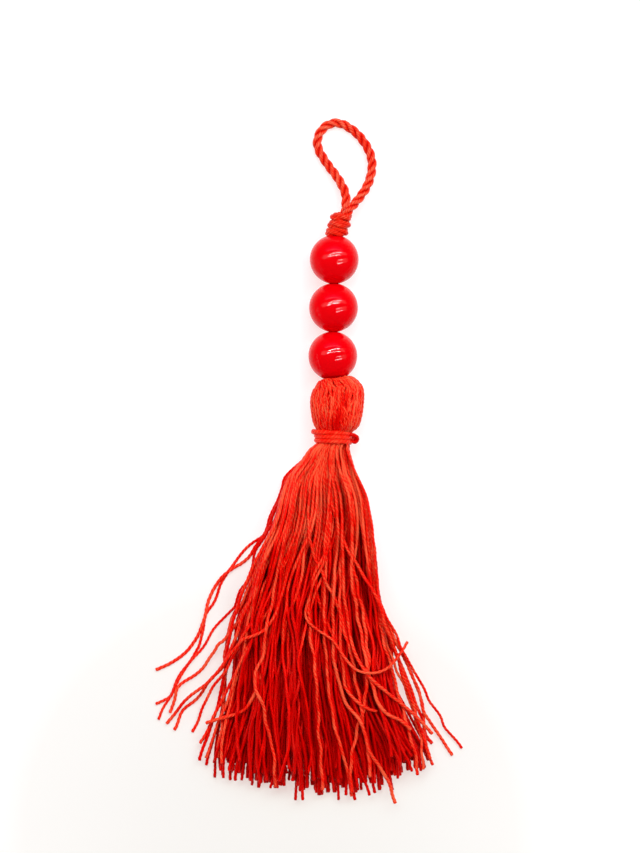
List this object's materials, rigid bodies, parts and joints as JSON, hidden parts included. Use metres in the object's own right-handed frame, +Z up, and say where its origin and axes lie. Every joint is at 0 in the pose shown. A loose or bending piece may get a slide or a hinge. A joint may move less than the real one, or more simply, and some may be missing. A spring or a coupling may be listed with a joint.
{
  "type": "silk tassel",
  "caption": "Silk thread tassel with a ribbed head and bound neck, round gloss beads and a knotted twisted hanging loop, lying flat.",
  "frame": {"origin": "on the surface under the middle of the tassel's head, on the head's small flat underside", "axes": "+Y along the tassel towards the hanging loop, +X to the right seen from above, +Z up from the surface"},
  "size_m": [0.0652, 0.1375, 0.0104],
  "materials": {
    "silk_thread": "lustrous twisted silk thread",
    "twisted_cord": "smooth twisted cord",
    "tie_thread": "smooth wound thread",
    "gloss_bead": "polished gloss"
  },
  "bodies": {
    "root": {"hanging_cord": "twisted_cord", "bead_top": "gloss_bead", "bead_middle": "gloss_bead", "bead_bottom": "gloss_bead", "silk_bundle": "silk_thread", "neck_tie": "tie_thread"}
  },
  "joints": []
}
